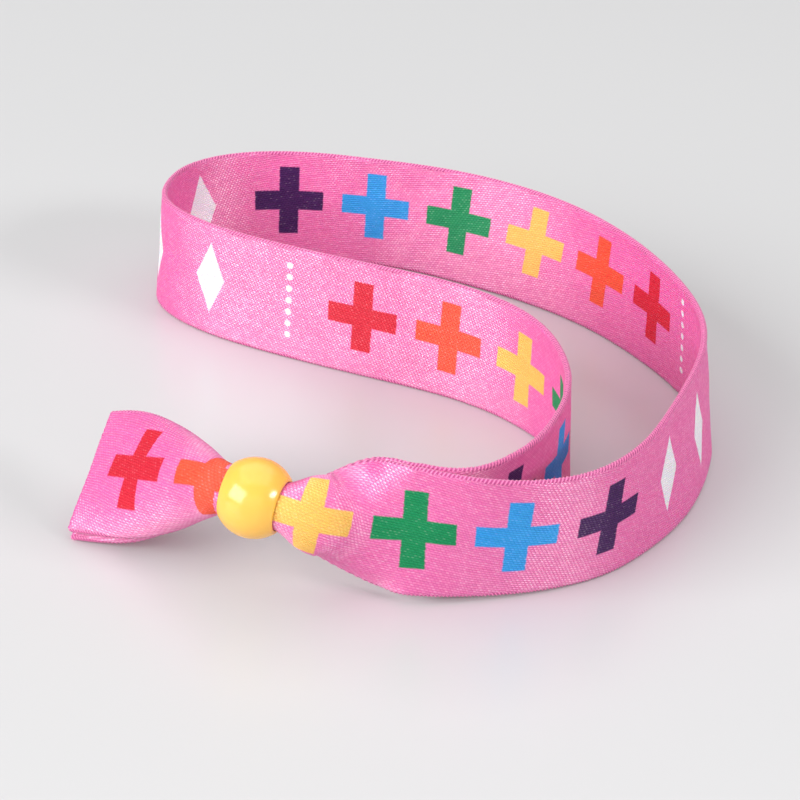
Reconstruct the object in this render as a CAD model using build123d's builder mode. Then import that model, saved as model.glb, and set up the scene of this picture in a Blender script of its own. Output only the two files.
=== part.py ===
from build123d import *
import math
import os

# Wristband: one printed satin ribbon, bent into a wrist loop that stands on its edge, with both of its strands
# passed through a moulded barrel bead and left as a short tail. Millimetres, +Z up, the loop's edge on Z = 0.

# Ribbon
RIBBON_LENGTH = 350.0
RIBBON_WIDTH = 15.0
RIBBON_THICKNESS = 1.0
STRAND_GAP = 0.2

# Bead: its wall is one rim thick at both ends, with rounded lips, and bulges out half way along
BEAD_LENGTH = 6.2
BEAD_BORE = 5.3
BEAD_RIM = 0.3
BEAD_BULGE = 1.35
BEAD_LIP = BEAD_RIM * 0.6
BORE_CLEARANCE = 0.15

# Stretches of each strand: the tail beyond the bead, and the gather between the bead and the flat loop
TAIL_LENGTH = 21.8
GATHER_LENGTH = 15.6
NECK_LENGTH = GATHER_LENGTH + BEAD_LENGTH + TAIL_LENGTH
LOOP_LENGTH = RIBBON_LENGTH - 2 * NECK_LENGTH

# The bead holds the strands beside it this far off the floor, and they come down to it over this much of the loop
GATHER_LIFT = 1.0
LIFT_LENGTH = 24.0

# Curl across the ribbon in degrees: none of the cloth is quite flat, and its edges stop short of each other
LEAST_CURL = 1.0
MOST_CURL = 270.0

# Farthest apart that two sections of the ribbon lie
LOOP_STEP = 3.6
NECK_STEP = 1.8
SAMPLES = 1200


class Row:
    """One row of a table, its values by column name."""

    def __init__(self, names, values):
        for name, value in zip(names, values):
            setattr(self, name, value)


def table(names, *rows):
    return [Row(names.split(), row) for row in rows]


# The loop from the front strand's gather round to the back strand's: share of its length, heading over the floor
# and how far the top leans outward, in degrees
LOOP = table(
    "at heading lean",
    (0.000, -2.0, -3.0),
    (0.025, 8.5, 5.0),
    (0.060, 27.5, 8.5),
    (0.100, 53.5, 2.0),
    (0.150, 67.5, -8.0),
    (0.200, 79.0, -8.5),
    (0.260, 105.5, -5.5),
    (0.330, 124.0, 2.5),
    (0.410, 150.5, 11.0),
    (0.475, 170.0, 3.0),
    (0.530, 191.5, 11.5),
    (0.565, 224.5, 7.0),
    (0.595, 259.0, -2.0),
    (0.625, 306.5, -2.0),
    (0.660, 329.0, -1.5),
    (0.710, 338.5, -2.0),
    (0.770, 336.5, -3.0),
    (0.815, 314.5, -1.0),
    (0.860, 283.0, 4.5),
    (0.910, 252.5, 1.0),
    (0.955, 232.0, -6.5),
    (0.980, 215.5, -6.5),
    (1.000, 178.0, 3.0),
)

# The gather from the bead to the flat loop: share of its length, then heading, upward slope and lean in degrees,
# and how tightly the cloth curls across, from 0 where it is flat to 1 where it fills the bore
GATHER = table(
    "at heading slope lean curl",
    (0.00, -18.0, -5.5, -16.5, 1.00),
    (0.12, -15.0, -6.0, -18.5, 0.73),
    (0.30, -4.0, -8.5, -17.0, 0.61),
    (0.50, 33.5, -21.0, -7.0, 0.54),
    (0.72, 8.0, -5.0, -4.0, 0.28),
    (1.00, -2.0, 0.0, -3.0, 0.00),
)

# The tail from the bead to the cut ends, in the same columns
TAIL = table(
    "at heading slope lean curl",
    (0.00, -18.0, -5.5, -43.0, 1.00),
    (0.12, -36.0, 11.5, -43.0, 0.88),
    (0.32, -39.5, 18.5, -36.0, 0.68),
    (0.55, -45.5, 20.0, -37.5, 0.40),
    (0.78, -46.0, 20.7, -41.0, 0.18),
    (1.00, -37.0, 25.5, -50.0, 0.00),
)


def smooth(rows, column, at):
    """The column's value at a share of the way, on a smooth cubic through the rows."""
    place = [row.at for row in rows]
    value = [getattr(row, column) for row in rows]
    last = len(rows) - 1
    step = [place[i + 1] - place[i] for i in range(last)]
    rate = [(value[i + 1] - value[i]) / step[i] for i in range(last)]
    i = max([k for k in range(last) if place[k] <= at] or [0])

    def tangent(k):
        if k in (0, last):
            return rate[min(k, last - 1)]
        return (rate[k] * step[k - 1] + rate[k - 1] * step[k]) / (step[k - 1] + step[k])

    t = (at - place[i]) / step[i]
    start = (2 * t**3 - 3 * t**2 + 1) * value[i] + (t**3 - 2 * t**2 + t) * step[i] * tangent(i)
    end = (3 * t**2 - 2 * t**3) * value[i + 1] + (t**3 - t**2) * step[i] * tangent(i + 1)
    return start + end


class Station:
    """A place on a strand: how it lies there in degrees, and its middle, once the strand has been walked."""

    def __init__(self, distance, heading, slope, lean, curl):
        turn, rise, tip = (math.radians(angle) for angle in (heading, slope, lean))
        right = Vector(math.sin(turn), -math.cos(turn), 0)
        self.distance = distance
        self.along = Vector(math.cos(rise) * math.cos(turn), math.cos(rise) * math.sin(turn), math.sin(rise))
        self.across = right.cross(self.along) * math.cos(tip) + right * math.sin(tip)
        self.face = self.along.cross(self.across)
        self.lean = tip
        self.curl = curl
        self.middle = Vector(0, 0, 0)


def loop_station(share):
    """The flat ribbon at a share of the way round the loop."""
    heading = smooth(LOOP, "heading", share)
    return Station(share * LOOP_LENGTH, heading, 0, smooth(LOOP, "lean", share), 0)


def neck_station(distance):
    """The gathered front strand at a distance back from the flat loop, through the bead to the tail's end."""
    into_tail = (distance - GATHER_LENGTH - BEAD_LENGTH) / TAIL_LENGTH
    through = (distance - GATHER_LENGTH) / BEAD_LENGTH
    columns = ("heading", "slope", "lean", "curl")
    if into_tail >= 0:
        values = [smooth(TAIL, name, min(into_tail, 1)) for name in columns]
    elif through >= 0:
        values = [(1 - through) * getattr(GATHER[0], name) + through * getattr(TAIL[0], name) for name in columns]
    else:
        values = [smooth(GATHER, name, 1 - distance / GATHER_LENGTH) for name in columns]
    return Station(distance, *values)


def walk(stations, start, way):
    """Lays the stations' middles one after another from the start, along the strand (1) or back against it (-1)."""
    stations[0].middle = start
    for before, after in zip(stations, stations[1:]):
        step = (after.distance - before.distance) * way
        after.middle = before.middle + (before.along + after.along) * (step / 2)


def rest_height(station):
    """Height of the flat ribbon's middle with its lower corner on the floor, or lifted beside the gather."""
    from_gather = min(station.distance, LOOP_LENGTH - station.distance)
    lift = GATHER_LIFT * max(0, 1 - from_gather / LIFT_LENGTH) ** 2
    half_wall = RIBBON_THICKNESS / 2 * abs(math.sin(station.lean))
    return RIBBON_WIDTH / 2 * math.cos(station.lean) + half_wall + lift


def curl_radius(station):
    """Radius of the front strand's middle surface where it curls across, no tighter than the bore lets it."""
    tightest = BEAD_BORE / 2 - BORE_CLEARANCE - RIBBON_THICKNESS / 2
    flattest = RIBBON_WIDTH / math.radians(LEAST_CURL)
    return min(tightest / min(max(station.curl, 0.001), 1), flattest)


def half_curl(radius):
    """Half the angle that the ribbon's width covers at a radius, short of where its edges would meet."""
    return min(RIBBON_WIDTH / radius, math.radians(MOST_CURL)) / 2


def twist_about_bore(neck):
    """Shifts the neck so that inside the bead the strand twists about the bore's axis, not about its own middle."""
    entry = neck_station(GATHER_LENGTH)
    for station in neck:
        if station.distance > GATHER_LENGTH:
            inside = neck_station(min(station.distance, GATHER_LENGTH + BEAD_LENGTH))
            station.middle = station.middle + (inside.face - entry.face) * curl_radius(entry)


def curled_corners(station):
    """The edges and the crown of the front strand's outer face, and of the back strand's inner one."""
    radius = curl_radius(station)
    inner = radius - RIBBON_THICKNESS - STRAND_GAP
    corners = []
    for middle_radius, wall_radius in (
        (radius, radius + RIBBON_THICKNESS / 2),
        (inner, inner - RIBBON_THICKNESS / 2),
    ):
        half_angle = half_curl(middle_radius)
        for turn in (-half_angle, -half_angle / 2, 0, half_angle / 2, half_angle):
            out = station.face * (wall_radius * math.cos(turn) - radius)
            corners.append(station.middle + station.across * (wall_radius * math.sin(turn)) + out)
    return corners


def lay_out():
    """Stations of the loop, closed on itself, and of the neck, with the whole centred over the origin."""
    fine = [loop_station(i / SAMPLES) for i in range(SAMPLES + 1)]
    walk(fine, Vector(0, 0, 0), 1)
    miss = fine[0].middle - fine[0].face * (RIBBON_THICKNESS + STRAND_GAP) - fine[-1].middle
    for station in fine:
        laid = station.middle + miss * (station.distance / LOOP_LENGTH)
        station.middle = Vector(laid.X, laid.Y, rest_height(station))
    neck = [neck_station(NECK_LENGTH * i / SAMPLES) for i in range(SAMPLES + 1)]
    walk(neck, fine[0].middle, -1)
    twist_about_bore(neck)
    corners = [
        station.middle + station.across * (RIBBON_WIDTH / 2 * up) + station.face * (RIBBON_THICKNESS / 2 * out)
        for station in fine
        for up in (-1, 1)
        for out in (-1, 1)
    ]
    corners += [corner for station in neck for corner in curled_corners(station)]
    centre = Vector(
        (min(c.X for c in corners) + max(c.X for c in corners)) / 2,
        (min(c.Y for c in corners) + max(c.Y for c in corners)) / 2,
    )
    for station in fine + neck:
        station.middle = station.middle - centre
    return fine, neck


def cloth_section(plane, centre, radius, side):
    """Cross-section of the cloth on an arc about a centre, which lies behind its face (1) or before it (-1)."""
    half_angle = half_curl(radius)
    face_radius = radius + side * RIBBON_THICKNESS / 2
    back_radius = radius - side * RIBBON_THICKNESS / 2

    def on(arc_radius, angle):
        return (arc_radius * math.sin(angle), centre + side * arc_radius * math.cos(angle))

    with BuildSketch(plane) as section:
        with BuildLine():
            ThreePointArc(on(face_radius, -half_angle), on(face_radius, 0), on(face_radius, half_angle))
            Line(on(face_radius, half_angle), on(back_radius, half_angle))
            ThreePointArc(on(back_radius, half_angle), on(back_radius, 0), on(back_radius, -half_angle))
            Line(on(back_radius, -half_angle), on(face_radius, -half_angle))
        make_face()
    return section.sketch


def front_section(station):
    plane = Plane(station.middle, x_dir=station.across, z_dir=station.along)
    radius = curl_radius(station)
    return cloth_section(plane, -radius, radius, 1)


def back_section(station):
    """The back strand runs the other way, nested inside the curl of the front one."""
    plane = Plane(station.middle, x_dir=station.across, z_dir=-station.along)
    radius = curl_radius(station)
    return cloth_section(plane, radius, radius - RIBBON_THICKNESS - STRAND_GAP, -1)


def loop_section(station):
    """The flat ribbon, its slight curl passing from one face to the other half way round."""
    plane = Plane(station.middle, x_dir=station.across, z_dir=station.along)
    radius = RIBBON_WIDTH / math.radians(LEAST_CURL)
    side = 1 if station.distance < LOOP_LENGTH / 2 else -1
    return cloth_section(plane, -side * radius, radius, side)


def section_places(start, end, step):
    """Distances after the start up to the end, evenly spread and no farther apart than the step."""
    count = math.ceil((end - start) / step)
    return [start + (end - start) * i / count for i in range(1, count + 1)]


loop, neck = lay_out()
places = section_places(0, GATHER_LENGTH, NECK_STEP)
places += section_places(GATHER_LENGTH, GATHER_LENGTH + BEAD_LENGTH, NECK_STEP)
places += section_places(GATHER_LENGTH + BEAD_LENGTH, NECK_LENGTH, NECK_STEP)
neck_rows = [neck[round(SAMPLES * place / NECK_LENGTH)] for place in [0] + places]
loop_rows = [loop[round(SAMPLES * place / LOOP_LENGTH)] for place in section_places(0, LOOP_LENGTH, LOOP_STEP)]

with BuildPart() as ribbon:
    sections = [front_section(station) for station in reversed(neck_rows)]
    sections += [loop_section(station) for station in loop_rows[:-1]]
    sections += [back_section(station) for station in neck_rows]
    loft(sections=sections)

# The bead sits half way along the straight stretch, its bore's axis at the centre of the strands' curl
seat = neck[round(SAMPLES * (GATHER_LENGTH + BEAD_LENGTH / 2) / NECK_LENGTH)]
bead_centre = seat.middle - seat.face * curl_radius(seat)
face_radius = BEAD_BORE / 2 + BEAD_RIM

with BuildPart() as bead:
    with BuildSketch(Plane(bead_centre, x_dir=seat.across, z_dir=seat.across.cross(seat.along))):
        with BuildLine():
            bulge = ThreePointArc(
                (face_radius, -BEAD_LENGTH / 2),
                (face_radius + BEAD_BULGE, 0),
                (face_radius, BEAD_LENGTH / 2),
            )
            Polyline(
                bulge @ 1,
                (BEAD_BORE / 2, BEAD_LENGTH / 2),
                (BEAD_BORE / 2, -BEAD_LENGTH / 2),
                bulge @ 0,
            )
        make_face()
    revolve(axis=Axis(bead_centre, seat.along))
    fillet(bead.edges().filter_by(GeomType.CIRCLE), radius=BEAD_LIP)

ribbon.part.label = "ribbon"
bead.part.label = "bead"

os.makedirs("parts", exist_ok=True)
export_step(ribbon.part, "parts/ribbon.step")
export_step(bead.part, "parts/bead.step")
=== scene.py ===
import math

import bpy
import numpy as np
from mathutils import Matrix, Vector


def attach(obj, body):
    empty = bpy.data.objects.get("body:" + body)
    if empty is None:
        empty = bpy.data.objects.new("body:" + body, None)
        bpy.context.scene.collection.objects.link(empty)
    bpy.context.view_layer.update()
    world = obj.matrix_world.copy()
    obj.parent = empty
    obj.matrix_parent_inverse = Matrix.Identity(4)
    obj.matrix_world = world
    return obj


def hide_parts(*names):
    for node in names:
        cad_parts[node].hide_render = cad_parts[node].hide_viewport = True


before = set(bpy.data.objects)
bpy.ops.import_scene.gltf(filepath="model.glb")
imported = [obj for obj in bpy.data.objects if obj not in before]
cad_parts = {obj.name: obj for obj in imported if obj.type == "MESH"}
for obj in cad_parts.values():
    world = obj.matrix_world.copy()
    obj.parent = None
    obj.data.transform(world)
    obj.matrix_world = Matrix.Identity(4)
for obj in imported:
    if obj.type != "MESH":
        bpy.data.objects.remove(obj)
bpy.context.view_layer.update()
MM = 0.001

# Satin ribbon: one 15 mm tape of woven polyester satin, 350 mm long, dye-printed on both faces. It leaves the bead,
# runs once round as the wrist loop, standing on its lower edge, and comes back behind itself into the same bead,
# where both of its strands are gathered. Beyond the bead they flare again into a tail of two layers.
RIBBON_LENGTH = 350.0
RIBBON_WIDTH = 15.0
RIBBON_THICKNESS = 0.66
# From the middle of one layer to the middle of the next, where two strands lie together
LAYER_STEP = 0.85
TAIL_LENGTH = 21.8
BEAD_LENGTH = 6.2
BEAD_BORE = 5.3
GATHER_LENGTH = 15.6
NECK_LENGTH = GATHER_LENGTH + BEAD_LENGTH + TAIL_LENGTH
LOOP_LENGTH = RIBBON_LENGTH - 2 * NECK_LENGTH
LOOP_START = np.array([1.59, -42.06])
# The gather holds the ends of the loop a little off the floor
GATHER_LIFT = 1.0
LIFT_LENGTH = 24.0
# Half the width of the cloth's middle, which curls less than its edges do
FLAT_MIDDLE = 4.5
# At the tail's end the back layer has slipped down, stands off and reaches a little further than the front one
TAIL_SLIP = 0.45
TAIL_STANDOFF = 0.25
TAIL_LONGER = 0.6
# How tight the cloth may curl, as radii in the bead and as the turn at which a layer's two edges meet
BORE_CLEARANCE = 0.05
TIGHTEST_CURL = BEAD_BORE / 2 - RIBBON_THICKNESS / 2 - BORE_CLEARANCE
LEAST_CURL = 1e-4
BACK_TIGHTEST_CURL = 0.4
EDGES_MEET = math.radians(166)
CURL_SETTLES_OVER = 0.22

# Share of the loop's length, heading over the floor, anticlockwise from the right, and outward lean, in degrees
LOOP_ROWS = np.array([
    (0.000, -2.0, -3.0),
    (0.025, 8.5, 5.0),
    (0.060, 27.5, 8.5),
    (0.100, 53.5, 2.0),
    (0.150, 67.5, -8.0),
    (0.200, 79.0, -8.5),
    (0.260, 105.5, -5.5),
    (0.330, 124.0, 2.5),
    (0.410, 150.5, 11.0),
    (0.475, 170.0, 3.0),
    (0.530, 191.5, 11.5),
    (0.565, 224.5, 7.0),
    (0.595, 259.0, -2.0),
    (0.625, 306.5, -2.0),
    (0.660, 329.0, -1.5),
    (0.710, 338.5, -2.0),
    (0.770, 336.5, -3.0),
    (0.815, 314.5, -1.0),
    (0.860, 283.0, 4.5),
    (0.910, 252.5, 1.0),
    (0.955, 232.0, -6.5),
    (0.980, 215.5, -6.5),
    (1.000, 178.0, 3.0),
])

# Share of the gather's length from the bead, heading, slope and lean in degrees, and how tightly the middle and the
# edges of the cloth curl, from 0 where they are flat to 1 where they fill the bore
GATHER_ROWS = np.array([
    (0.00, -18.0, -5.5, -16.5, 1.00, 1.00),
    (0.12, -15.0, -6.0, -18.5, 0.68, 0.80),
    (0.30, -4.0, -8.5, -17.0, 0.55, 0.69),
    (0.50, 33.5, -21.0, -7.0, 0.57, 0.49),
    (0.72, 8.0, -5.0, -4.0, 0.13, 0.49),
    (1.00, -2.0, 0.0, -3.0, 0.00, 0.00),
])

# The same for the tail, from the bead to its cut ends
TAIL_ROWS = np.array([
    (0.00, -18.0, -5.5, -43.0, 1.00, 1.00),
    (0.12, -36.0, 11.5, -43.0, 0.84, 1.00),
    (0.32, -39.5, 19.0, -36.0, 0.51, 1.00),
    (0.55, -45.5, 21.0, -37.5, 0.22, 0.82),
    (0.78, -46.0, 21.5, -41.0, 0.06, 0.44),
    (1.00, -37.0, 28.0, -50.0, 0.00, 0.00),
])


def smooth(rows, column, at):
    """A column's values at the shares given, on a smooth cubic through the rows."""
    place, value = rows[:, 0], rows[:, column]
    step = np.diff(place)
    rate = np.diff(value) / step
    tangent = np.empty_like(value)
    tangent[1:-1] = (rate[1:] * step[:-1] + rate[:-1] * step[1:]) / (step[1:] + step[:-1])
    tangent[0], tangent[-1] = rate[0], rate[-1]
    i = np.clip(np.searchsorted(place, at, side="right") - 1, 0, len(place) - 2)
    t = (at - place[i]) / step[i]
    start = (2 * t**3 - 3 * t**2 + 1) * value[i] + (t**3 - 2 * t**2 + t) * step[i] * tangent[i]
    end = (3 * t**2 - 2 * t**3) * value[i + 1] + (t**3 - t**2) * step[i] * tangent[i + 1]
    return start + end


def directions(heading, slope, lean):
    """Unit vectors along the strand, across its width and out of its face, from angles in degrees."""
    turn, rise, tip = np.radians(heading), np.radians(slope), np.radians(lean)
    level = np.zeros_like(turn)
    right = np.stack([np.sin(turn), -np.cos(turn), level], 1)
    along = np.stack([np.cos(rise) * np.cos(turn), np.cos(rise) * np.sin(turn), np.sin(rise)], 1)
    across = np.cross(right, along) * np.cos(tip)[:, None] + right * np.sin(tip)[:, None]
    return along, across, np.cross(along, across)


def walked(along, distance):
    """Places reached by going along the strand, from nought."""
    stride = (along[1:] + along[:-1]) / 2 * np.diff(distance)[:, None]
    return np.concatenate([np.zeros((1, 3)), np.cumsum(stride, axis=0)])


def lay_loop(count):
    """Distance, middle and directions of the flat ribbon round the loop, closed onto the layer behind its start."""
    share = np.linspace(0, 1, count)
    lean = smooth(LOOP_ROWS, 2, share)
    along, across, face = directions(smooth(LOOP_ROWS, 1, share), np.zeros(count), lean)
    distance = share * LOOP_LENGTH
    middle = walked(along, distance)
    miss = -face[0] * LAYER_STEP - middle[-1]
    middle += share[:, None] * miss
    middle[:, :2] += LOOP_START
    from_gather = np.minimum(distance, LOOP_LENGTH - distance)
    lift = GATHER_LIFT * np.clip(1 - from_gather / LIFT_LENGTH, 0, 1) ** 2
    tip = np.radians(lean)
    middle[:, 2] = RIBBON_WIDTH / 2 * np.cos(tip) + RIBBON_THICKNESS / 2 * np.abs(np.sin(tip)) + lift
    return distance, middle, across, face


def lay_neck(start, count):
    """The front strand from the loop's start back through the gather and the bead to the tail's end."""
    distance = np.linspace(0, NECK_LENGTH + TAIL_LONGER, count)
    gather_share = np.clip(1 - distance / GATHER_LENGTH, 0, 1)
    through = np.clip((distance - GATHER_LENGTH) / BEAD_LENGTH, 0, 1)
    tail_share = np.clip((distance - GATHER_LENGTH - BEAD_LENGTH) / TAIL_LENGTH, 0, 1)
    columns = []
    for column in range(1, 6):
        gather = smooth(GATHER_ROWS, column, gather_share)
        tail = smooth(TAIL_ROWS, column, tail_share)
        columns.append(gather + tail - (1 - through) * TAIL_ROWS[0, column] - through * GATHER_ROWS[0, column])
    heading, slope, lean, curl, edge_curl = columns
    # The gather's curl dies away softly where the cloth opens flat into the loop
    settling = np.clip((1 - gather_share) / CURL_SETTLES_OVER, 0, 1)
    settled = settling**2 * (3 - 2 * settling)
    curl, edge_curl = curl * settled, edge_curl * settled
    along, across, face = directions(heading, slope, lean)
    middle = start - walked(along, distance)
    # Inside the bead the strand twists about the bore's axis, not about its own middle
    inside = np.clip(distance, GATHER_LENGTH, GATHER_LENGTH + BEAD_LENGTH)
    turned = np.stack([np.interp(inside, distance, face[:, k]) for k in range(3)], 1)
    entry = np.array([np.interp(GATHER_LENGTH, distance, face[:, k]) for k in range(3)])
    middle += (turned - entry) * TIGHTEST_CURL * (distance > GATHER_LENGTH)[:, None]
    tightness = np.clip(np.stack([curl, edge_curl], 1), LEAST_CURL, 1) / TIGHTEST_CURL
    return distance, middle, along, across, face, tightness[:, 0], tightness[:, 1]


def at_places(distance, values, places):
    """Rows of values, known at the distances, at other places along the strand."""
    return np.stack([np.interp(places, distance, values[:, k]) for k in range(values.shape[1])], 1)


def cloth_curl(v, bend, edge_bend, flat_half):
    """Place across and out of the face, and the angle, at v across a section that curls more at its edges."""
    inner = np.minimum(np.abs(v), flat_half) * bend
    angle = inner + np.maximum(np.abs(v) - flat_half, 0) * edge_bend
    across = np.sin(inner) / bend + (np.sin(angle) - np.sin(inner)) / edge_bend
    back = -(1 - np.cos(inner)) / bend - (np.cos(inner) - np.cos(angle)) / edge_bend
    return across * np.sign(v), back, angle * np.sign(v)


LOOP_SAMPLES = 3000
NECK_SAMPLES = 1500
loop_line = lay_loop(LOOP_SAMPLES)
neck_line = lay_neck(loop_line[1][0], NECK_SAMPLES)


def cloth_points(s, v, out):
    """Points of the cloth in mm at s along it and v across it, out from its middle towards the loop's outer face.

    s counts along the ribbon from the loop's start, so it is negative on the front strand's gather and tail."""
    s, v, out = (np.ravel(q) for q in np.broadcast_arrays(s, v, out))
    points = np.zeros((len(s), 3))
    on_loop = (s >= 0) & (s <= LOOP_LENGTH)
    distance, middle, across, face = loop_line
    m, a, f = (at_places(distance, q, s[on_loop]) for q in (middle, across, face))
    points[on_loop] = m + a * v[on_loop, None] + f * out[on_loop, None]
    distance, middle, _, across, face, bend, edge_bend = neck_line
    for behind, where in ((0, s < 0), (1, s > LOOP_LENGTH)):
        place = np.where(behind, s - LOOP_LENGTH, -s)[where]
        m, a, f = (at_places(distance, q, place) for q in (middle, across, face))
        k, e = np.interp(place, distance, bend), np.interp(place, distance, edge_bend)
        flat_half = np.full_like(k, FLAT_MIDDLE)
        width = v[where]
        if behind:
            flat_half = flat_half * (1 - k * LAYER_STEP)
            k, e = (1 / np.maximum(1 / q - LAYER_STEP, BACK_TIGHTEST_CURL) for q in (k, e))
            # Deep in the bead the back strand is folded small, and its edges meet
            reach = flat_half * k + (RIBBON_WIDTH / 2 - flat_half) * e
            width = width * np.minimum(1, EDGES_MEET / reach)
            # In the tail it has slipped down a little and stands off from the front strand
            slipped = np.clip((place - GATHER_LENGTH - BEAD_LENGTH) / TAIL_LENGTH, 0, 1)
            m = m - a * (TAIL_SLIP * slipped)[:, None] - f * (TAIL_STANDOFF * slipped)[:, None]
        y, z, angle = cloth_curl(width, k, e, flat_half)
        normal = f * np.cos(angle)[:, None] + a * np.sin(angle)[:, None]
        points[where] = m + a * y[:, None] + f * (z - behind * LAYER_STEP)[:, None]
        points[where] += normal * np.where(behind, -1, 1) * out[where, None]
    return points


def mesh_piece(name, points, faces, maps):
    """A smooth-shaded mesh object from points in mm, with its UV maps by name."""
    mesh = bpy.data.meshes.new(name)
    mesh.from_pydata((np.asarray(points) * MM).tolist(), [], faces)
    for title, values in maps.items():
        layer = mesh.uv_layers.new(name=title)
        layer.uv.foreach_set("vector", np.asarray(values, dtype=np.float32).ravel())
    mesh.shade_smooth()
    piece = bpy.data.objects.new(name, mesh)
    bpy.context.scene.collection.objects.link(piece)
    return piece


# Each ring of points runs up the outer face, over the top edge, down the inner face and under the bottom edge
RINGS = 1000
ACROSS = 40
EDGE_ROUND = 0.30
TOP_EDGE = ACROSS + 1
INNER_LAST = 2 * ACROSS + 2
BOTTOM_EDGE = 2 * ACROSS + 3
s_of_ring = np.linspace(-NECK_LENGTH, LOOP_LENGTH + NECK_LENGTH + TAIL_LONGER, RINGS + 1)
half_width = RIBBON_WIDTH / 2 - EDGE_ROUND
face_v = np.linspace(-half_width, half_width, ACROSS + 1)
ring_v = np.concatenate([face_v, [RIBBON_WIDTH / 2], face_v[::-1], [-RIBBON_WIDTH / 2]])
ring_side = np.concatenate([np.ones(ACROSS + 1), [0], -np.ones(ACROSS + 1), [0]])
ring_size = len(ring_v)
grid_s, grid_v = np.meshgrid(s_of_ring, ring_v, indexing="ij")
grid_out = np.broadcast_to(ring_side, grid_s.shape) * RIBBON_THICKNESS / 2
# The hot knife that cut the ends left a slightly thicker, ragged bead of melted thread. The waves here and below run
# in radians per mm, at rates that never fall into step.
MELT_REACH = 0.5
MELT_SWELL = 0.12
RAGGED_REACH = 0.4
RAGGED_DEPTH = 0.05
from_end = np.minimum(grid_s - s_of_ring[0], s_of_ring[-1] - grid_s)
melt = np.clip(1 - from_end / MELT_REACH, 0, 1)
grid_out = grid_out * (1 + MELT_SWELL * melt * (1 + 0.6 * np.sin(grid_v * 7.1) * np.sin(grid_v * 2.3 + 1)))
ends_only = np.clip(1 - from_end / RAGGED_REACH, 0, 1) ** 2
ragged = RAGGED_DEPTH * ends_only * (1 + np.sin(grid_v * 9.7 + np.cos(grid_v * 3.1)))
ragged_s = grid_s - np.sign(grid_s - LOOP_LENGTH / 2) * ragged
# Woven tape is never quite flat: it waves by a few hundredths of a millimetre
LONG_WAVE = 0.03
SHORT_WAVE = 0.025
wave = LONG_WAVE * np.sin(grid_s * 0.9 + grid_v * 0.5) + SHORT_WAVE * np.sin(grid_s * 0.37 - grid_v * 0.8 + 1.3)
ribbon_points = cloth_points(ragged_s, grid_v, grid_out + wave)
faces = []
for ring in range(RINGS):
    first = ring * ring_size
    for k in range(ring_size):
        after = (k + 1) % ring_size
        faces.append((first + k, first + after, first + ring_size + after, first + ring_size + k))
# The two cut ends are closed by a strip of faces from the outer side to the inner, with a corner at each edge
last = RINGS * ring_size
for k in range(ACROSS):
    under = INNER_LAST - k
    faces.append((k, under, under - 1, k + 1))
    faces.append((last + k, last + k + 1, last + under - 1, last + under))
faces.append((0, BOTTOM_EDGE, INNER_LAST))
faces.append((ACROSS, TOP_EDGE + 1, TOP_EDGE))
faces.append((last, last + INNER_LAST, last + BOTTOM_EDGE))
faces.append((last + ACROSS, last + TOP_EDGE, last + TOP_EDGE + 1))

# Cloth map: flat coordinates in mm, along the ribbon and across it. The print on the inner face lies a little higher.
PRINT_RISE_INSIDE = 0.55
PRINT_DRAWN_IN = 0.73
DRAWN_FROM, DRAWN_TO = 6.4, 3.2
# Bake map: the ribbon in four strips, one above another, and its two cut ends in the narrow space left beside them
BAKE_ROWS = 4
STRIP_SHARE = 0.98
STRIP_LEFT, STRIP_BELOW = 0.004, 0.01
CUT_END_PLACE, CUT_END_HALF, CUT_END_HEIGHT = 0.993, 0.003, 0.2
CUT_END_MIDDLES = (0.25, 0.75)
cloth_map = []
bake_map = []
for face_corners in faces:
    rings = [corner // ring_size for corner in face_corners]
    spots = [corner % ring_size for corner in face_corners]
    wraps = BOTTOM_EDGE in spots and 0 in spots
    inner_face = np.mean([ring_side[spot] for spot in spots]) < 0
    row = min(int(min(rings) * BAKE_ROWS / RINGS), BAKE_ROWS - 1)
    is_cut_end = len(set(rings)) == 1
    for ring, spot in zip(rings, spots):
        v = ring_v[spot] - (PRINT_RISE_INSIDE if inner_face else 0)
        # Gathering has drawn the print of the front strand in towards the bead
        drawn = np.clip((DRAWN_FROM - s_of_ring[ring]) / (DRAWN_FROM - DRAWN_TO), 0, 1)
        cloth_map.append((s_of_ring[ring] - PRINT_DRAWN_IN * drawn**2 * (3 - 2 * drawn), v))
        girth = spot + (ring_size if wraps and spot == 0 else 0)
        u = (ring - row * RINGS / BAKE_ROWS) / (RINGS / BAKE_ROWS)
        if is_cut_end:
            up = CUT_END_MIDDLES[ring > 0] + CUT_END_HEIGHT * ring_v[spot] / RIBBON_WIDTH
            bake_map.append((CUT_END_PLACE + CUT_END_HALF * ring_side[spot], up))
        else:
            up = (row + STRIP_BELOW + STRIP_SHARE * girth / ring_size) / BAKE_ROWS
            bake_map.append((STRIP_LEFT + STRIP_SHARE * u, up))

ribbon = mesh_piece("satin_ribbon", ribbon_points, faces, {"cloth_mm": cloth_map, "OFBake": bake_map})
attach(ribbon, "root")
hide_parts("ribbon")


def linear(code):
    """Linear colour from an sRGB hex code."""
    parts = [int(code[i : i + 2], 16) / 255 for i in (0, 2, 4)]
    return [p / 12.92 if p <= 0.04045 else ((p + 0.055) / 1.055) ** 2.4 for p in parts] + [1.0]


def node(material, kind, settings=None, **links):
    """Adds a node with its settings and links. A link is given as in and the socket's number, or by its name."""
    tree = material.node_tree
    made = tree.nodes.new(kind)
    for key, value in (settings or {}).items():
        if isinstance(key, int) or key in made.inputs:
            made.inputs[key].default_value = value
        else:
            setattr(made, key, value)
    for key, source in links.items():
        socket = int(key[2:]) if key[:2] == "in" and key[2:].isdigit() else key
        tree.links.new(source, made.inputs[socket])
    return made


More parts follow.
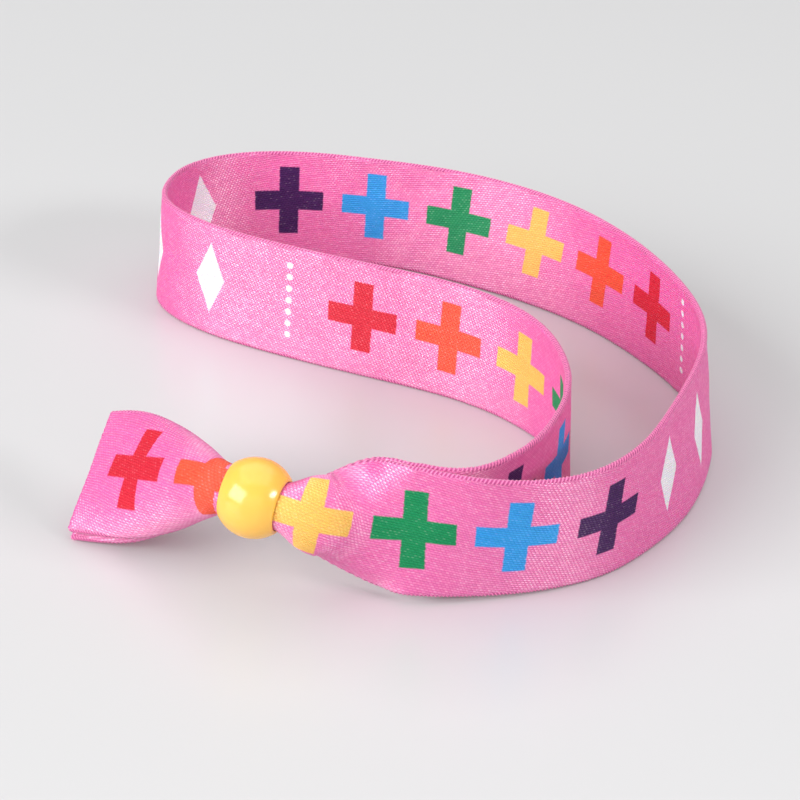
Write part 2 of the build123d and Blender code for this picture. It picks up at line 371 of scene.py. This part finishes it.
# Polyester satin, woven with floats of shiny filament that lie along the ribbon and dye-printed after weaving. The
# eye gets saturated colour, a broad silky highlight stretched across the floats, and small pale flecks where single
# floats face the light, which are painted highlights in the colour, as is the weave's shade between threads. Real
# threads lie about 0.12 mm apart, too fine to show here, so they are drawn 0.29 mm apart.
THREAD_PITCH = 0.29
FLOAT_LENGTH = 0.46
FLOAT_SHIFT = 0.38
FLOAT_SLANT = 0.16
FLOAT_BLUNTNESS = 0.6
satin = bpy.data.materials.new("woven polyester satin, dye-printed")
satin.use_nodes = True
surface = satin.node_tree.nodes["Principled BSDF"]


def maths(operation, a, b=None, c=None):
    """One step of arithmetic in the satin material on sockets or plain numbers."""
    step = satin.node_tree.nodes.new("ShaderNodeMath")
    step.operation = operation
    for socket, value in zip(step.inputs, (a, b, c)):
        if isinstance(value, (int, float)):
            socket.default_value = value
        elif value is not None:
            satin.node_tree.links.new(value, socket)
    return step.outputs[0]


cloth_place = node(satin, "ShaderNodeUVMap", {"uv_map": "cloth_mm"})
cloth_axes = node(satin, "ShaderNodeSeparateXYZ", in0=cloth_place.outputs[0])
along_mm, across_mm = cloth_axes.outputs[0], cloth_axes.outputs[1]

# Floats: a row for each thread, shifted along by a step for each next thread, as a satin weave's binding points are
slanted = maths("MULTIPLY_ADD", along_mm, FLOAT_SLANT, across_mm)
thread = maths("DIVIDE", slanted, THREAD_PITCH)
thread_number = maths("FLOOR", thread)
float_place = maths("MULTIPLY_ADD", thread_number, FLOAT_SHIFT, maths("DIVIDE", along_mm, FLOAT_LENGTH))
float_number = maths("FLOOR", float_place)
over_thread = maths("SINE", maths("MULTIPLY", maths("FRACT", thread), math.pi))
along_float = maths("SINE", maths("MULTIPLY", maths("FRACT", float_place), math.pi))
over_float = maths("POWER", along_float, FLOAT_BLUNTNESS)
relief = maths("MULTIPLY", over_thread, over_float)
float_cell = node(satin, "ShaderNodeCombineXYZ", in0=thread_number, in1=float_number)
float_chance = node(satin, "ShaderNodeTexWhiteNoise", {"noise_dimensions": "2D"}, Vector=float_cell.outputs[0])
chance = float_chance.outputs["Value"]

# The print: three repeats along the ribbon, each of six plus signs, three tall lozenges and a column of dots. At each
# break, in the plain ground after the dots, the next repeat takes over.
PRINT_STARTS = (-36.0, 77.8, 193.3)
PRINT_BREAKS = (71.8, 187.0)
PRINT_RISE = 0.38
PLUS_DYES = ("D8243A", "F6583C", "FFC664", "128C56", "34A0E8", "401452")
PLUS_COUNT = len(PLUS_DYES)
PLUS_SIZE = 9.09
PLUS_ARM = 2.6
PLUS_PITCH = 11.64
LOZENGE_PLACES = (70.5, 82.2, 94.0)
LOZENGE_HALF = (2.2, 4.7)
DOTS_PLACE = 105.5
DOT_COUNT = 7
DOT_PITCH = 1.55
DOT_RADIUS = 0.42
PRINT_SOFTNESS = 0.16
DYE_STEP_ALONG, DYE_STEP_ACROSS = 0.07, 0.04


def printed_within(off, limit):
    """How much dye lies at this many mm off a figure's middle: it bleeds a little over the figure's limit."""
    inside = maths("DIVIDE", maths("SUBTRACT", limit, off), PRINT_SOFTNESS)
    return maths("MAXIMUM", maths("MINIMUM", maths("ADD", inside, 0.5), 1), 0)


# Dye steps from thread to thread, so the edges of the print are not quite straight
stepped_along = maths("MULTIPLY_ADD", maths("SUBTRACT", chance, 0.5), DYE_STEP_ALONG, along_mm)
stepped_across = maths("MULTIPLY_ADD", maths("SUBTRACT", over_float, 0.6), DYE_STEP_ACROSS, across_mm)
second_start = maths("MULTIPLY", maths("GREATER_THAN", along_mm, PRINT_BREAKS[0]), PRINT_STARTS[1] - PRINT_STARTS[0])
third_start = maths("MULTIPLY", maths("GREATER_THAN", along_mm, PRINT_BREAKS[1]), PRINT_STARTS[2] - PRINT_STARTS[1])
from_first = maths("SUBTRACT", stepped_along, PRINT_STARTS[0])
from_start = maths("SUBTRACT", maths("SUBTRACT", from_first, second_start), third_start)
height = maths("SUBTRACT", stepped_across, PRINT_RISE)
height_off = maths("ABSOLUTE", height)
nearest_plus = maths("ROUND", maths("DIVIDE", from_start, PLUS_PITCH))
plus_number = maths("MINIMUM", maths("MAXIMUM", nearest_plus, 0), PLUS_COUNT - 1)
side_off = maths("ABSOLUTE", maths("MULTIPLY_ADD", plus_number, -PLUS_PITCH, from_start))
within_size = printed_within(maths("MAXIMUM", side_off, height_off), PLUS_SIZE / 2)
within_arm = printed_within(maths("MINIMUM", side_off, height_off), PLUS_ARM / 2)
is_plus = maths("MULTIPLY", within_size, within_arm)
is_white = None
# Twice the share of a lozenge's half width is near enough the place in mm that the softness is stated in
for place in LOZENGE_PLACES:
    off = maths("DIVIDE", maths("ABSOLUTE", maths("SUBTRACT", from_start, place)), LOZENGE_HALF[0])
    shape = printed_within(maths("MULTIPLY", maths("ADD", off, maths("DIVIDE", height_off, LOZENGE_HALF[1])), 2), 2)
    is_white = shape if is_white is None else maths("MAXIMUM", is_white, shape)
dot_off = maths("PINGPONG", maths("ADD", height, DOT_PITCH / 2), DOT_PITCH / 2)
dot_off = maths("SUBTRACT", DOT_PITCH / 2, dot_off)
dot_side = maths("SUBTRACT", from_start, DOTS_PLACE)
dot_reach = maths("SQRT", maths("ADD", maths("MULTIPLY", dot_off, dot_off), maths("MULTIPLY", dot_side, dot_side)))
in_column = maths("LESS_THAN", height_off, DOT_COUNT / 2 * DOT_PITCH)
is_dot = maths("MULTIPLY", printed_within(dot_reach, DOT_RADIUS), in_column)
is_white = maths("MAXIMUM", is_white, is_dot)

ramp_place = maths("MULTIPLY_ADD", plus_number, 1 / PLUS_COUNT, 0.5 / PLUS_COUNT)
plus_dye = node(satin, "ShaderNodeValToRGB", in0=ramp_place)
plus_dye.color_ramp.interpolation = "CONSTANT"
for i, dye in enumerate(PLUS_DYES):
    stop = plus_dye.color_ramp.elements[i] if i < 2 else plus_dye.color_ramp.elements.new(i / PLUS_COUNT)
    stop.position = i / PLUS_COUNT
    stop.color = linear(dye)
GROUND_DYE = "F466B1"
BARE_CLOTH = "FAF6FC"
ground = {"data_type": "RGBA", 6: linear(GROUND_DYE)}
dyed = node(satin, "ShaderNodeMix", ground, in0=is_plus, in7=plus_dye.outputs[0])
bare = {"data_type": "RGBA", 7: linear(BARE_CLOTH)}
printed = node(satin, "ShaderNodeMix", bare, in0=is_white, in6=dyed.outputs[2])
# Painted highlight and shade: filament is painted paler where a float crests and darker in the gaps between threads,
# where shade falls, and each float and each row also differs a little in tone at random
GAP_PAINTED_SHADE, CREST_PAINTED_LIGHT = 0.83, 0.12
FLOAT_UNEVEN, ROW_UNEVEN = 0.07, 0.05
row_chance = node(satin, "ShaderNodeTexWhiteNoise", {"noise_dimensions": "1D"}, W=thread_number)
uneven_row = maths("MULTIPLY", row_chance.outputs["Value"], ROW_UNEVEN)
uneven = maths("ADD", maths("MULTIPLY", chance, FLOAT_UNEVEN), uneven_row)
tone_with_painted_weave_shade = maths("MULTIPLY_ADD", relief, CREST_PAINTED_LIGHT, maths("ADD", uneven, GAP_PAINTED_SHADE))
grey = node(satin, "ShaderNodeCombineColor", in0=tone_with_painted_weave_shade, in1=tone_with_painted_weave_shade, in2=tone_with_painted_weave_shade)
multiply = {"data_type": "RGBA", "blend_type": "MULTIPLY", 0: 1.0}
# The printed colour is multiplied by this painted weave shade and random tone
shaded = node(satin, "ShaderNodeMix", multiply, in6=printed.outputs[2], in7=grey.outputs[0])
# and one float in six gets a painted glint, a pale highlight painted into its colour at its very crest, less so where
# it carries ink
GLINTING_FROM = 0.84
GLINT_SHARPNESS = 7.0
GLINT_SHARE, GLINT_LOST_TO_INK = 0.24, 0.10
PAINTED_GLINT_COLOUR = "FFE9F4"
painted_glint_mask = maths("MULTIPLY", maths("GREATER_THAN", chance, GLINTING_FROM), maths("POWER", relief, GLINT_SHARPNESS))
painted_glint_share = maths("MULTIPLY", painted_glint_mask, maths("MULTIPLY_ADD", is_plus, -GLINT_LOST_TO_INK, GLINT_SHARE))
painted_glint_setting = {"data_type": "RGBA", 7: linear(PAINTED_GLINT_COLOUR)}
# Painted highlight: the glinting floats' colour is mixed towards pale pink
pale = node(satin, "ShaderNodeMix", painted_glint_setting, in0=painted_glint_share, in6=shaded.outputs[2])
satin.node_tree.links.new(pale.outputs[2], surface.inputs["Base Color"])
# Crests are smoother than the gaps, each float by its own amount, and ink dulls the filament that it covers
GAP_ROUGHNESS = 0.60
CREST_SMOOTHER, FLOAT_SMOOTHER, INK_ROUGHER = 0.14, 0.12, 0.16
uneven_roughness = maths("MULTIPLY_ADD", chance, -FLOAT_SMOOTHER, GAP_ROUGHNESS)
float_roughness = maths("MULTIPLY_ADD", relief, -CREST_SMOOTHER, uneven_roughness)
satin_roughness = maths("MULTIPLY_ADD", is_plus, INK_ROUGHER, float_roughness)
satin.node_tree.links.new(satin_roughness, surface.inputs["Roughness"])
FLOAT_HEIGHT = 0.07
crown = maths("MULTIPLY_ADD", relief, 0.6, maths("MULTIPLY", over_thread, 0.4))
bump = node(satin, "ShaderNodeBump", {"Strength": 1.0, "Distance": FLOAT_HEIGHT * MM}, Height=crown)
satin.node_tree.links.new(bump.outputs[0], surface.inputs["Normal"])
surface.inputs["IOR"].default_value = 2.6
# Ink lies over the filament and tints its shine, where dye that has sunk in leaves it white
INK_TINTS_SHINE = 0.8
white_shine = {"data_type": "RGBA", 6: linear("FFFAFD")}
ink_share = maths("MULTIPLY", is_plus, INK_TINTS_SHINE)
shine = node(satin, "ShaderNodeMix", white_shine, in0=ink_share, in7=dyed.outputs[2])
# and floats shine where they crest, each by its own amount, while the gaps between them stay dull
shining = maths("MULTIPLY", maths("MULTIPLY_ADD", relief, 0.9, 0.5), maths("MULTIPLY_ADD", chance, 0.4, 0.8))
weave_shine = node(satin, "ShaderNodeVectorMath", {"operation": "SCALE"}, in0=shine.outputs[2], Scale=shining)
satin.node_tree.links.new(weave_shine.outputs[0], surface.inputs["Specular Tint"])
surface.inputs["Specular IOR Level"].default_value = 0.5
surface.inputs["Anisotropic"].default_value = 1.0
surface.inputs["Anisotropic Rotation"].default_value = 0.25
surface.inputs["Subsurface Weight"].default_value = 0.4
surface.inputs["Subsurface Radius"].default_value = (1.0, 0.3, 0.6)
surface.inputs["Subsurface Scale"].default_value = 0.8 * MM
float_direction = node(satin, "ShaderNodeTangent", {"direction_type": "UV_MAP", "uv_map": "cloth_mm"})
satin.node_tree.links.new(float_direction.outputs[0], surface.inputs["Tangent"])
ribbon.data.materials.append(satin)

# Selvedges: along both edges the polyester weft turns back round the outermost threads, one small slanted loop after
# another, which makes a firm corded edge. They are woven with the ribbon and dyed with it.
WEFT_PITCH = 0.42
WEFT_STARTS = 3
WEFT_RISE = 0.09
WEFT_STEPS = 6
SELVEDGE_RADIUS = 0.385
SELVEDGE_INSET = 0.33
SELVEDGE_SHORTER = 0.05
AROUND = 8
CLOTH_EDGE = 7.2
CLOTH_EDGE_SPREAD = 0.3
selvedge_rings = int(RIBBON_LENGTH / WEFT_PITCH * WEFT_STEPS)
edge_s = np.linspace(s_of_ring[0] + SELVEDGE_SHORTER, s_of_ring[-1] - SELVEDGE_SHORTER, selvedge_rings + 1)
turn_angle = np.linspace(0, 2 * np.pi, AROUND + 1)
selvedges = []
for title, side in (("selvedge_top", 1), ("selvedge_bottom", -1)):
    ring_s, ring_turn = np.meshgrid(edge_s, turn_angle[:-1], indexing="ij")
    # Each loop is slanted, so its ridge runs on along the ribbon as it goes round the edge
    phase = 2 * np.pi * ring_s / WEFT_PITCH + WEFT_STARTS * ring_turn
    # and no two loops are pulled quite equally tight
    tightness = 0.5 + 0.5 * np.sin(ring_s * 5.3 + side) * np.sin(ring_s * 1.9 + 2)
    radius = SELVEDGE_RADIUS - WEFT_RISE * (0.5 - 0.5 * np.cos(phase)) * (0.6 + 0.8 * tightness)
    v = side * (RIBBON_WIDTH / 2 - SELVEDGE_INSET + np.cos(ring_turn) * radius)
    points = cloth_points(ring_s, v, np.sin(ring_turn) * radius)
    rings, spots = np.meshgrid(np.arange(len(edge_s) - 1), np.arange(AROUND), indexing="ij")
    ring = np.stack([rings, rings, rings + 1, rings + 1], -1).reshape(-1, 4)
    spot = np.stack([spots, spots + 1, spots + 1, spots], -1).reshape(-1, 4)
    if side > 0:
        ring, spot = ring[:, ::-1], spot[:, ::-1]
    quads = (ring * AROUND + spot % AROUND).tolist()
    last_ring = (len(edge_s) - 1) * AROUND
    cap = np.arange(AROUND)
    quads += [cap[:: -side].tolist(), (last_ring + cap[::side]).tolist()]
    # The cloth map runs on with the slant too, so that the dye follows each loop round
    slanted_s = edge_s[ring] + WEFT_PITCH * WEFT_STARTS * turn_angle[spot] / (2 * np.pi)
    edge_v = side * (CLOTH_EDGE + CLOTH_EDGE_SPREAD * np.cos(turn_angle[spot]))
    cloth_map = np.stack([slanted_s, edge_v], -1).reshape(-1, 2)
    cap_map = np.full((2 * AROUND, 2), (0.0, side * CLOTH_EDGE))
    selvedge = mesh_piece(title, points, quads, {"cloth_mm": np.concatenate([cloth_map, cap_map])})
    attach(selvedge, "root")
    selvedges.append(selvedge)

# Dyed polyester weft, drawn tight round the edge, with painted shade in the gaps between the loops and a painted
# highlight on their crests
CORD_GAP_PAINTED_SHADE = "B43A7C"
CORD_CREST_PAINTED_LIGHT = "F284B8"
cord = bpy.data.materials.new("dyed polyester selvedge, woven")
cord.use_nodes = True
cord_surface = cord.node_tree.nodes["Principled BSDF"]
cord_place = node(cord, "ShaderNodeUVMap", {"uv_map": "cloth_mm"})
cord_axes = node(cord, "ShaderNodeSeparateXYZ", in0=cord_place.outputs[0])
into_turns = {"operation": "MULTIPLY", 1: 2 * math.pi / WEFT_PITCH}
weft_turn = node(cord, "ShaderNodeMath", into_turns, in0=cord_axes.outputs[0])
weft_crest = node(cord, "ShaderNodeMath", {"operation": "COSINE"}, in0=weft_turn.outputs[0])
# Painted light and shade: the cord's colour goes from the painted gap shade to the painted crest highlight with each
# loop
crest = node(cord, "ShaderNodeMapRange", {1: -0.5, 2: 0.9, 3: 0.0, 4: 1.0}, in0=weft_crest.outputs[0])
cord_painted_shade_and_light = {"data_type": "RGBA", 6: linear(CORD_GAP_PAINTED_SHADE), 7: linear(CORD_CREST_PAINTED_LIGHT)}
cord_painted_shading = node(cord, "ShaderNodeMix", cord_painted_shade_and_light, in0=crest.outputs[0])
cord.node_tree.links.new(cord_painted_shading.outputs[2], cord_surface.inputs["Base Color"])
cord_surface.inputs["Roughness"].default_value = 0.5
cord_surface.inputs["Sheen Weight"].default_value = 0.2
for selvedge in selvedges:
    selvedge.data.materials.append(cord)

# Bead: one small barrel of glossy yellow plastic, injection moulded round a core pin that leaves its bore. Both
# strands of the ribbon are pulled through it, and their grip holds it where it is pushed.
BEAD_DIAMETER = 8.6
BEAD_FACE_DIAMETER = 5.9
BEAD_LIP = 0.18
BEAD_BORE_LIP = 0.08
BEAD_BULGE_SHARE = 0.90
BEAD_TURNS = 128
distance, middle, along, _, face, _, _ = neck_line
seat = [GATHER_LENGTH + BEAD_LENGTH / 2]
seat_middle, seat_along, seat_face = (at_places(distance, q, seat)[0] for q in (middle, along, face))
bead_centre = seat_middle - seat_face * TIGHTEST_CURL
seat_along /= np.linalg.norm(seat_along)
seat_side = np.cross(seat_along, seat_face)
seat_side /= np.linalg.norm(seat_side)
seat_out = np.cross(seat_side, seat_along)


def rounded_corner(corner, before, after, radius, steps):
    """Points of a corner rounded softly, a little wider than a true arc, between two directions that leave it."""
    reach = radius * 1.15
    start, end = corner + before * reach, corner + after * reach
    t = np.linspace(0, 1, steps)[:, None]
    return (1 - t) ** 2 * start + 2 * t * (1 - t) * corner + t**2 * end


half_length, half_face, half_bore = BEAD_LENGTH / 2, BEAD_FACE_DIAMETER / 2, BEAD_BORE / 2
rise = BEAD_DIAMETER / 2 - half_face
arc_radius = (half_length**2 + rise**2) / (2 * rise)
arc_turn = math.asin(half_length / arc_radius)
reach_turn = arc_turn * BEAD_BULGE_SHARE
turns = np.linspace(-reach_turn, reach_turn, 25)
bulge = np.stack([arc_radius * np.sin(turns), BEAD_DIAMETER / 2 - arc_radius * (1 - np.cos(turns))], 1)
# The lips at one face, as places along the bead and out from its axis. Those at the other face mirror them.
slope_in = np.array([-math.cos(arc_turn), math.sin(arc_turn)])
outward, inward, into_bore = np.array([0.0, 1.0]), np.array([0.0, -1.0]), np.array([-1.0, 0.0])
face_corner, bore_corner = np.array([half_length, half_face]), np.array([half_length, half_bore])
lips = np.concatenate([
    rounded_corner(face_corner, slope_in, inward, BEAD_LIP, 9),
    rounded_corner(bore_corner, outward, into_bore, BEAD_BORE_LIP, 5),
])
bore_half_line = half_length - 0.5
bore_line = np.stack([np.linspace(bore_half_line, -bore_half_line, 12), np.full(12, half_bore)], 1)
profile = np.concatenate([bulge, lips, bore_line, (lips * (-1, 1))[::-1]])
spin = np.linspace(0, 2 * np.pi, BEAD_TURNS, endpoint=False)
bead_points = (
    bead_centre
    + profile[None, :, 0, None] * seat_along
    + profile[None, :, 1, None] * (np.cos(spin)[:, None, None] * seat_out + np.sin(spin)[:, None, None] * seat_side)
)
index = np.arange(BEAD_TURNS * len(profile)).reshape(BEAD_TURNS, len(profile))
a, b = index, np.roll(index, -1, 0)
bead_quads = np.stack([a, np.roll(a, -1, 1), np.roll(b, -1, 1), b], -1).reshape(-1, 4)
bead = mesh_piece("moulded_bead", bead_points.reshape(-1, 3), bead_quads.tolist(), {})
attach(bead, "root")
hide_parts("bead")

# Injection-moulded polystyrene, coloured right through: a smooth wet-looking gloss, faint flow ripples left by the
# mould and a few hair-fine rubs
plastic = bpy.data.materials.new("moulded polystyrene, yellow")
plastic.use_nodes = True
plastic_surface = plastic.node_tree.nodes["Principled BSDF"]
BEAD_YELLOW = "FAC052"
RIPPLE_SIZE = 2.6
RUB_SIZE = 0.5
bead_place = node(plastic, "ShaderNodeTexCoord").outputs["Object"]
ripple = node(plastic, "ShaderNodeTexNoise", {"Scale": 1 / (RIPPLE_SIZE * MM), "Detail": 2.0}, Vector=bead_place)
tone = node(plastic, "ShaderNodeMapRange", {1: 0.3, 2: 0.7, 3: 0.97, 4: 1.03}, in0=ripple.outputs[0])
tone_colour = node(plastic, "ShaderNodeCombineColor", in0=tone.outputs[0], in1=tone.outputs[0], in2=tone.outputs[0])
toned = {"data_type": "RGBA", "blend_type": "MULTIPLY", 0: 1.0, 6: linear(BEAD_YELLOW)}
yellow = node(plastic, "ShaderNodeMix", toned, in7=tone_colour.outputs[0])
plastic.node_tree.links.new(yellow.outputs[2], plastic_surface.inputs["Base Color"])
rubs = node(plastic, "ShaderNodeTexNoise", {"Scale": 1 / (RUB_SIZE * MM), "Detail": 4.0}, Vector=bead_place)
gloss = node(plastic, "ShaderNodeMapRange", {1: 0.35, 2: 0.75, 3: 0.16, 4: 0.27}, in0=rubs.outputs[0])
plastic.node_tree.links.new(gloss.outputs[0], plastic_surface.inputs["Roughness"])
dimple = node(plastic, "ShaderNodeBump", {"Strength": 0.25, "Distance": 0.03 * MM}, Height=ripple.outputs[0])
plastic.node_tree.links.new(dimple.outputs[0], plastic_surface.inputs["Normal"])
plastic_surface.inputs["IOR"].default_value = 1.59
plastic_surface.inputs["Subsurface Weight"].default_value = 0.25
plastic_surface.inputs["Subsurface Radius"].default_value = (1.0, 0.6, 0.2)
plastic_surface.inputs["Subsurface Scale"].default_value = 1.2 * MM
bead.data.materials.append(plastic)

# Floor: a sheet of pale, faintly glossy board that the wristband stands on. It is part of the studio, not of the
# wristband.
FLOOR_HALF = 2500.0
FLOOR_GREY = "CCCCCD"
floor_corners = [(x * FLOOR_HALF, y * FLOOR_HALF, 0) for x, y in ((-1, -1), (1, -1), (1, 1), (-1, 1))]
floor = mesh_piece("floor", floor_corners, [(0, 1, 2, 3)], {})
board = bpy.data.materials.new("lacquered board, pale grey")
board.use_nodes = True
board_surface = board.node_tree.nodes["Principled BSDF"]
board_surface.inputs["Base Color"].default_value = linear(FLOOR_GREY)
board_surface.inputs["Roughness"].default_value = 0.32
board_surface.inputs["Specular IOR Level"].default_value = 0.5
floor.data.materials.append(board)


def softbox(name, place, target, size, power):
    """A white rectangular area light turned to its target, with places and sizes in metres and power in watts."""
    data = bpy.data.lights.new(name, "AREA")
    data.shape = "RECTANGLE"
    data.size, data.size_y = size
    data.energy = power
    lamp = bpy.data.objects.new(name, data)
    lamp.location = place
    lamp.rotation_euler = (Vector(target) - Vector(place)).to_track_quat("-Z", "Y").to_euler()
    bpy.context.scene.collection.objects.link(lamp)


# Light: a large softbox at the left, a small one at the right that lights the front, a weak one before the wristband
# and a wide one above it, in a pale, even surround
softbox("left_softbox", (-1.5, -1.0, 0.9), (0, 0, 0.01), (1.7, 1.2), 46.0)
softbox("right_softbox", (1.94, -0.94, 1.06), (0, 0, 0.01), (0.84, 0.4), 25.0)
softbox("front_softbox", (-0.2, -2.3, 0.8), (0, 0, 0.01), (2.6, 1.2), 5.5)
softbox("overhead_softbox", (0.0, 0.6, 1.5), (0, 0.5, 0), (2.4, 2.4), 19.0)
world = bpy.data.worlds.new("studio")
bpy.context.scene.world = world
world.use_nodes = True
world.node_tree.nodes["Background"].inputs["Color"].default_value = linear("FFFEFD")
world.node_tree.nodes["Background"].inputs["Strength"].default_value = 0.31

# Camera: the photograph's own view, from in front and 28 degrees up. The focal length is in the photo's pixels.
PHOTO_WIDTH = 800
FOCAL_LENGTH = 2446.0
SENSOR_WIDTH = 36.0
CAMERA_ELEVATION = math.radians(27.93)
CAMERA_DISTANCE = 297.1
CAMERA_ROLL = math.radians(3.07)
CAMERA_AIM = Vector((-0.96, 2.95, 0.0))
forward = Vector((0, math.cos(CAMERA_ELEVATION), -math.sin(CAMERA_ELEVATION)))
level_right = Vector((1, 0, 0))
level_up = level_right.cross(forward)
right = level_right * math.cos(CAMERA_ROLL) + level_up * math.sin(CAMERA_ROLL)
up = level_up * math.cos(CAMERA_ROLL) - level_right * math.sin(CAMERA_ROLL)
camera_data = bpy.data.cameras.new("camera")
camera_data.sensor_width = SENSOR_WIDTH
camera_data.lens = FOCAL_LENGTH / PHOTO_WIDTH * SENSOR_WIDTH
camera_data.clip_start = 0.01
camera = bpy.data.objects.new("camera", camera_data)
turned = Matrix((right, up, -forward)).transposed().to_4x4()
camera.matrix_world = Matrix.Translation((CAMERA_AIM - forward * CAMERA_DISTANCE) * MM) @ turned
bpy.context.scene.collection.objects.link(camera)
bpy.context.scene.camera = camera
bpy.context.scene.view_settings.view_transform = "Standard"
